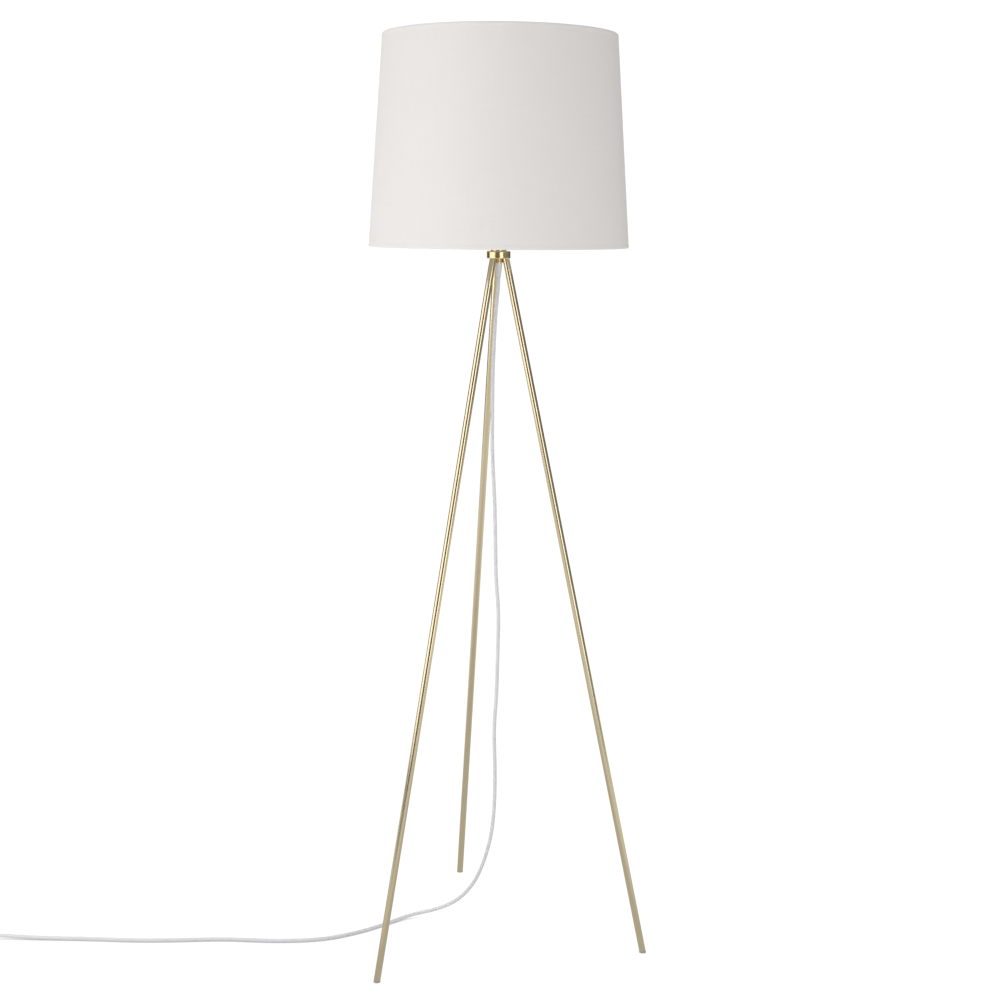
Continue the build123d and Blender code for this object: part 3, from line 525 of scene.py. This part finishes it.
def coil_route():
    """The lead out of the switch, four and a half turns in two layers, and the tail to the plug."""
    points = list(LEAD_OUT)
    for step in range(int(COIL_TURNS * TURN_POINTS) + 1):
        turns = step / TURN_POINTS
        for before, after in zip(COIL_STATIONS, COIL_STATIONS[1:]):
            if before[0] <= turns <= after[0]:
                share = (turns - before[0]) / (after[0] - before[0])
                radius = before[1] + share * (after[1] - before[1])
                height = before[2] + share * (after[2] - before[2])
        angle = -pi / 2 + tau * turns
        points.append((COIL_ALONG + radius * cos(angle), COIL_ACROSS + radius * sin(angle), height))
    return [on_switch_floor(*point) for point in points + TAIL]


cord_radius = CORD_DIAMETER / 2
lamp_line = smooth_line(LAMP_CORD_ROUTE, LAMP_CORD_STEPS)
lamp_cord = tube("lamp_cord", lamp_line, cord_radius, cord_braid)
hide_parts("cord")

coil_points = coil_route()
coil_line = smooth_line(coil_points, COIL_CORD_STEPS)
coil_cord = tube("coil_cord", coil_line, cord_radius, cord_braid)
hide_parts("cord_lead", "cord_coil", "cord_tail")

# ---- foot switch spring: the CAD spring's own shape, on a mesh of its own ----
spring_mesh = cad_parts["switch_spring"].data.copy()
spring_mesh.materials.clear()
button_spring = new_object("button_spring", spring_mesh, zinc)
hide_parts("switch_spring")
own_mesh(button_spring)

# ---- shade fabric ----
cloth_low, cloth_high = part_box("shade_fabric")
CLOTH_THICKNESS = 0.0005
LINER_THICKNESS = 0.0004
RIM_WIRE_RADIUS = 0.0015
TURNED_EDGE = 0.009
BOTTOM_RADIUS = 0.2076
TOP_RADIUS = 0.1843
SEAM_AZIMUTH = 76.0
SEAM_LAP = 0.010
# (half laps from the seam's middle, share of the seam's step), gently up one side and sharp down the other
SEAM_STEP = [
    (-1.6, 0.0),
    (-1.3, 0.25),
    (-1.0, 0.55),
    (-0.4, 0.8),
    (0.4, 0.95),
    (0.96, 1.0),
    (1.0, 0.0),
    (1.4, 0.0),
]
EVEN_COLUMNS = 240
# (distance from the rim's edge, how far the fabric stands out there) where it rolls over the rim wire
ROLLED_RIM = [
    (0.0, -0.0008),
    (0.0004, -0.0003),
    (0.0012, 0.0),
    (0.0024, 0.0002),
    (0.0036, 0.0003),
    (0.0048, 0.0002),
    (0.0058, 0.0),
    (0.0068, -0.00015),
    (0.009, -0.0001),
    (0.012, 0.0),
]
# (distance from the rim's edge, inset short of the turned-in edge's own) round the rim's inner corner
INNER_CORNER = [(0.0, 0.0008), (0.0003, 0.0003), (0.0009, 0.0)]
FOLD_GAP = 0.00015
WALL_ROWS = 10
SHARP_EDGE = 50.0
bottom_height = cloth_low[2]
top_height = cloth_high[2]
slope = (TOP_RADIUS - BOTTOM_RADIUS) / (top_height - bottom_height)


def on_cone(height, inset):
    """The (radius, height) of the place at a height, that far inside the cone's outer surface."""
    return (BOTTOM_RADIUS + (height - bottom_height) * slope - inset, height)


def cloth_profile():
    """The fabric's section as (radius, height) rows, the first of them its outside, and their count."""
    fold = CLOTH_THICKNESS + LINER_THICKNESS + 2 * RIM_WIRE_RADIUS + FOLD_GAP
    rim = fold + CLOTH_THICKNESS
    span = top_height - bottom_height
    rows = [on_cone(bottom_height + height, -out) for height, out in ROLLED_RIM]
    rows += [on_cone(bottom_height + span * (row / WALL_ROWS), 0.0) for row in range(1, WALL_ROWS)]
    rows += [on_cone(top_height - height, -out) for height, out in reversed(ROLLED_RIM)]
    outer_count = len(rows)
    rows += [on_cone(top_height - height, rim - short) for height, short in INNER_CORNER]
    rows += [
        on_cone(top_height - TURNED_EDGE, rim),
        on_cone(top_height - TURNED_EDGE, fold),
        on_cone(top_height - CLOTH_THICKNESS, fold),
        on_cone(top_height - CLOTH_THICKNESS, CLOTH_THICKNESS),
        on_cone(bottom_height + CLOTH_THICKNESS, CLOTH_THICKNESS),
        on_cone(bottom_height + CLOTH_THICKNESS, fold),
        on_cone(bottom_height + TURNED_EDGE, fold),
        on_cone(bottom_height + TURNED_EDGE, rim),
    ]
    rows += [on_cone(bottom_height + height, rim - short) for height, short in reversed(INNER_CORNER)]
    return rows, outer_count


def seam_angles():
    """(angle, share of the seam's step) round the shade, closer together where the cloth laps."""
    middle = radians(SEAM_AZIMUTH)
    half = SEAM_LAP / BOTTOM_RADIUS / 2
    angles = [(middle + half * where, step) for where, step in SEAM_STEP]
    room = tau - half * 4.0
    for index in range(EVEN_COLUMNS):
        angles.append((middle + half * 2.0 + room * index / (EVEN_COLUMNS - 1), 0.0))
    return angles


def make_shade_cloth():
    """The fabric as one closed thin shell, rolled over the rim wires and lapped at the back."""
    rows, outer_count = cloth_profile()
    angles = seam_angles()
    mesh = bmesh.new()
    uv = mesh.loops.layers.uv.new("UVMap")
    heights = [0.0]
    for before, after in zip(rows, rows[1:] + rows[:1]):
        step = Vector((after[0] - before[0], after[1] - before[1]))
        heights.append(heights[-1] + step.length)
    columns = []
    for angle, step in angles:
        column = []
        for index, (radius, height) in enumerate(rows):
            out = radius + (step * CLOTH_THICKNESS if index < outer_count else 0.0)
            column.append(mesh.verts.new((out * cos(angle), out * sin(angle), height)))
        columns.append(column)
    middle_radius = (BOTTOM_RADIUS + TOP_RADIUS) / 2
    for index, here in enumerate(columns):
        after = (index + 1) % len(columns)
        there = columns[after]
        first = angles[index][0]
        last = angles[after][0] + (tau if after == 0 else 0.0)
        for row in range(len(rows)):
            above = (row + 1) % len(rows)
            face = mesh.faces.new((here[row], there[row], there[above], here[above]))
            face.smooth = True
            low, high = heights[row], heights[row + 1]
            places = ((first, low), (last, low), (last, high), (first, high))
            for loop, (angle, height) in zip(face.loops, places):
                loop[uv].uv = (angle * middle_radius, height)
    bmesh.ops.recalc_face_normals(mesh, faces=mesh.faces)
    data = bpy.data.meshes.new("shade_cover")
    mesh.to_mesh(data)
    mesh.free()
    piece = new_object("shade_cover", data, shade_cloth)
    sharp = piece.modifiers.new("edges", "EDGE_SPLIT")
    sharp.split_angle = radians(SHARP_EDGE)
    return piece


shade_cover = make_shade_cloth()
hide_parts("shade_fabric")

# ---- floor ----
FLOOR_HALF = 30.0
# (distance from the axis as a part of the ramp's reach, light given off)
FLOOR_BOUNCE = [(0.05, 0.62), (0.14, 0.88), (0.32, 0.88), (0.6, 0.12)]
BOUNCE_REACH = 10.0
FLOOR_WHITE = 1.04
# Painted contact shadow: the white floor seen by the camera darkens where ambient occlusion finds
# something within reach.
CONTACT_REACH = 0.012
CONTACT_SHADOW_DARK = 0.4
CONTACT_OPENNESS = (0.2, 0.75)
CONTACT_SAMPLES = 16


def ray_choice(tree, lit, seen, target):
    """Feeds one shader to the camera's own rays and another to all the rest."""
    rays = node(tree, "ShaderNodeLightPath")
    choice = node(tree, "ShaderNodeMixShader")
    wire(tree, rays.outputs["Is Camera Ray"], choice.inputs[0])
    wire(tree, lit.outputs[0], choice.inputs[1])
    wire(tree, seen.outputs[0], choice.inputs[2])
    wire(tree, choice.outputs[0], target.inputs["Surface"])


def floor_paint():
    """A white floor that gives soft light near the lamp, with a painted contact shadow where something
    touches it.
    """
    material, tree, shader = new_material("floor_paint")
    tree.nodes.remove(shader)
    reach = node(tree, "ShaderNodeVectorMath", operation="LENGTH")
    wire(tree, node(tree, "ShaderNodeTexCoord").outputs["Object"], reach.inputs[0])
    ramp = node(tree, "ShaderNodeValToRGB")
    share = math_node(tree, "MULTIPLY", reach.outputs["Value"], 1.0 / BOUNCE_REACH)
    wire(tree, share, ramp.inputs["Fac"])
    stops = ramp.color_ramp.elements
    while len(stops) < len(FLOOR_BOUNCE):
        stops.new(0.5)
    for stop, (where, level) in zip(stops, FLOOR_BOUNCE):
        stop.position = where
        stop.color = (level, level, level, 1.0)
    bounce = node(tree, "ShaderNodeEmission")
    wire(tree, ramp.outputs["Color"], bounce.inputs["Strength"])
    contact = node(tree, "ShaderNodeAmbientOcclusion", samples=CONTACT_SAMPLES)
    contact.inputs["Distance"].default_value = CONTACT_REACH
    white = node(tree, "ShaderNodeEmission")
    white.inputs["Strength"].default_value = FLOOR_WHITE
    shadow = between(tree, contact.outputs["AO"], CONTACT_SHADOW_DARK, 1.0, *CONTACT_OPENNESS)
    wire(tree, shadow, white.inputs["Color"])
    ray_choice(tree, bounce, white, tree.nodes["Material Output"])
    return material


floor_mesh = bpy.data.meshes.new("floor")
corners = [
    (-FLOOR_HALF, -FLOOR_HALF, 0),
    (FLOOR_HALF, -FLOOR_HALF, 0),
    (FLOOR_HALF, FLOOR_HALF, 0),
    (-FLOOR_HALF, FLOOR_HALF, 0),
]
floor_mesh.from_pydata(corners, [], [(0, 1, 2, 3)])
floor = bpy.data.objects.new("floor", floor_mesh)
bpy.context.scene.collection.objects.link(floor)
floor_mesh.materials.append(floor_paint())

# ---- light and backdrop ----
# Degrees round the axis, from +X towards +Y, at which the camera stands.
CAMERA_SIDE = 255.8
AIM_HEIGHT = 0.9
BACKDROP_WHITE = 1.05
STUDIO_LIGHT = 0.75
STUDIO_DARK = 0.10
# The upward part of a direction at which the dark studio starts and stops turning into the ceiling.
CEILING_EDGE = (0.45, 0.75)


def soft_box(name, turn, distance, height, size, power):
    """A rectangular lamp aimed at the object; turn is in degrees to the left of the camera's side."""
    data = bpy.data.lights.new(name, "AREA")
    data.shape = "RECTANGLE"
    data.size, data.size_y = size
    data.energy = power
    light = bpy.data.objects.new(name, data)
    angle = radians(CAMERA_SIDE - turn)
    light.location = (distance * cos(angle), distance * sin(angle), height)
    look = Vector((0, 0, AIM_HEIGHT)) - light.location
    light.rotation_euler = look.to_track_quat("-Z", "Y").to_euler()
    light.visible_camera = False
    bpy.context.scene.collection.objects.link(light)


soft_box("key", turn=65.0, distance=2.0, height=1.30, size=(2.5, 1.9), power=26.0)
soft_box("fill", turn=-28.5, distance=2.2, height=1.20, size=(1.2, 1.9), power=14.5)
soft_box("side", turn=-85.0, distance=2.5, height=1.10, size=(3.0, 2.6), power=4.0)
soft_box("back", turn=175.0, distance=3.2, height=1.30, size=(3.4, 2.4), power=9.5)


def make_studio():
    """A plain white backdrop for the camera, and a dark studio with a bright ceiling for the light."""
    world = bpy.data.worlds.new("studio")
    bpy.context.scene.world = world
    world.use_nodes = True
    tree = world.node_tree
    tree.nodes.clear()
    backdrop = node(tree, "ShaderNodeBackground")
    backdrop.inputs["Color"].default_value = (1.0, 1.0, 1.0, 1.0)
    backdrop.inputs["Strength"].default_value = BACKDROP_WHITE
    studio = node(tree, "ShaderNodeBackground")
    studio.inputs["Strength"].default_value = STUDIO_LIGHT
    direction = node(tree, "ShaderNodeSeparateXYZ")
    wire(tree, node(tree, "ShaderNodeTexCoord").outputs["Generated"], direction.inputs["Vector"])
    ceiling = between(tree, direction.outputs["Z"], STUDIO_DARK, 1.0, *CEILING_EDGE)
    wire(tree, ceiling, studio.inputs["Color"])
    ray_choice(tree, studio, backdrop, node(tree, "ShaderNodeOutputWorld"))


make_studio()

bpy.context.scene.view_settings.view_transform = "Standard"
bpy.context.scene.view_settings.look = "None"
